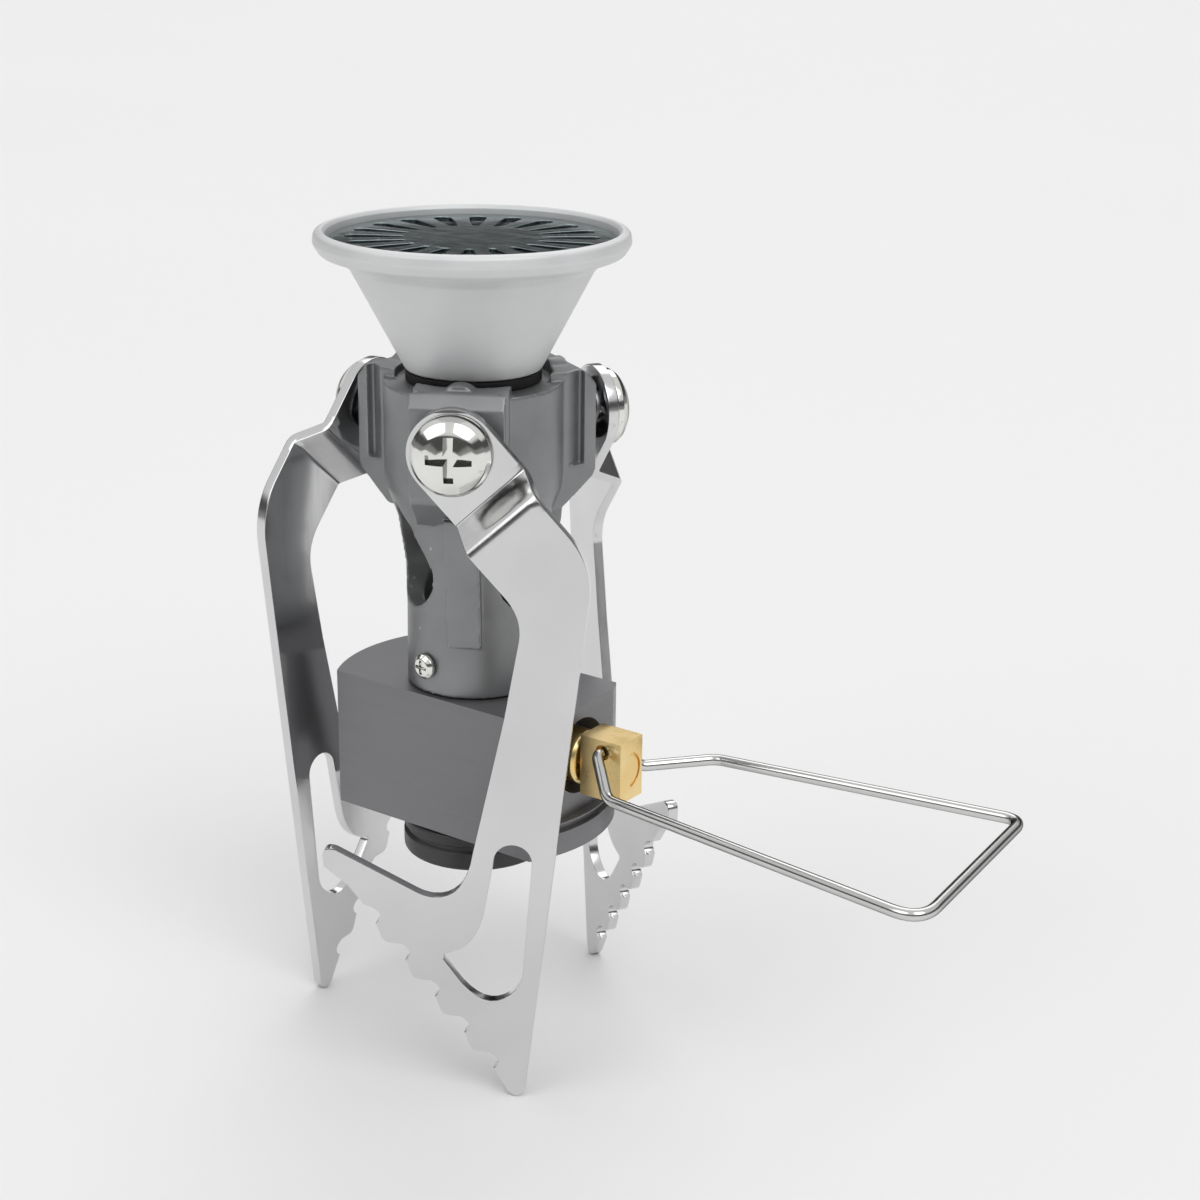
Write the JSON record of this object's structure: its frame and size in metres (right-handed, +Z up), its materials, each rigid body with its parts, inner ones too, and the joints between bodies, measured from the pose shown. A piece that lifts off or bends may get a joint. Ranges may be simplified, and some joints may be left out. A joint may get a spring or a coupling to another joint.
{
  "type": "canister stove",
  "caption": "Screw-on canister stove: conical burner cup on a three-arm bracket, fold-down toothed pot supports, valve block and wire valve handle.",
  "frame": {"origin": "centre of the collar's lower face, where the gas canister screws on", "axes": "+Z up through the burner, +X along the valve spindle towards the wire handle"},
  "size_m": [0.1004, 0.0569, 0.1122],
  "materials": {
    "bracket_casting": "satin die-cast, grey",
    "valve_block": "matt dark grey anodised",
    "collar_dark": "matt dark grey anodised",
    "burner_cup": "fine blasted, pale grey",
    "flame_plate": "stamped, bluish",
    "support_steel": "flat stainless faces with bright edges and bends",
    "washer_steel": "spring steel",
    "handle_wire": "bright drawn wire",
    "plated_screw": "bright nickel plate",
    "brass": "turned and milled brass",
    "black_rubber": "matt black"
  },
  "bodies": {
    "stove_body": {"valve_body": "valve_block", "canister_collar": "collar_dark", "canister_seal": "black_rubber", "valve_pin": "brass", "filter_screen": "brass", "gas_jet": "brass", "gland_nut": "brass", "spindle_o_ring": "black_rubber", "support_bracket": "bracket_casting", "tube_screw": "plated_screw", "neck_ring": "black_rubber", "burner_cup": "burner_cup", "flame_plate": "flame_plate", "pivot_screw_1": "plated_screw", "pivot_screw_2": "plated_screw", "pivot_screw_3": "plated_screw", "wave_washer_1": "washer_steel", "wave_washer_2": "washer_steel", "wave_washer_3": "washer_steel"},
    "support_1": {"pot_support_1": "support_steel"},
    "support_2": {"pot_support_2": "support_steel"},
    "support_3": {"pot_support_3": "support_steel"},
    "spindle": {"valve_spindle": "brass", "knob_block": "brass"},
    "handle": {"wire_handle": "handle_wire"}
  },
  "joints": [
    {"name": "support_1_fold", "type": "hinge", "parent": "stove_body", "child": "support_1", "pos_m": [0.0088, -0.01524, 0.0606], "axis": [-0.5, 0.866, 0], "range_deg": [0, 127]},
    {"name": "support_2_fold", "type": "hinge", "parent": "stove_body", "child": "support_2", "pos_m": [0.0088, 0.01524, 0.0606], "axis": [0.5, 0.866, 0], "range_deg": [0, 233]},
    {"name": "support_3_fold", "type": "hinge", "parent": "stove_body", "child": "support_3", "pos_m": [-0.0176, 0, 0.0606], "axis": [1, 0, 0], "range_deg": [0, 127]},
    {"name": "valve_turn", "type": "hinge", "parent": "stove_body", "child": "spindle", "pos_m": [0.0195, 0, 0.0174], "axis": [1, 0, 0], "range_deg": [0, 720]},
    {"name": "handle_fold", "type": "hinge", "parent": "spindle", "child": "handle", "pos_m": [0.023, 0, 0.0199], "axis": [0, 1, 0], "range_deg": [-50, 45]}
  ]
}
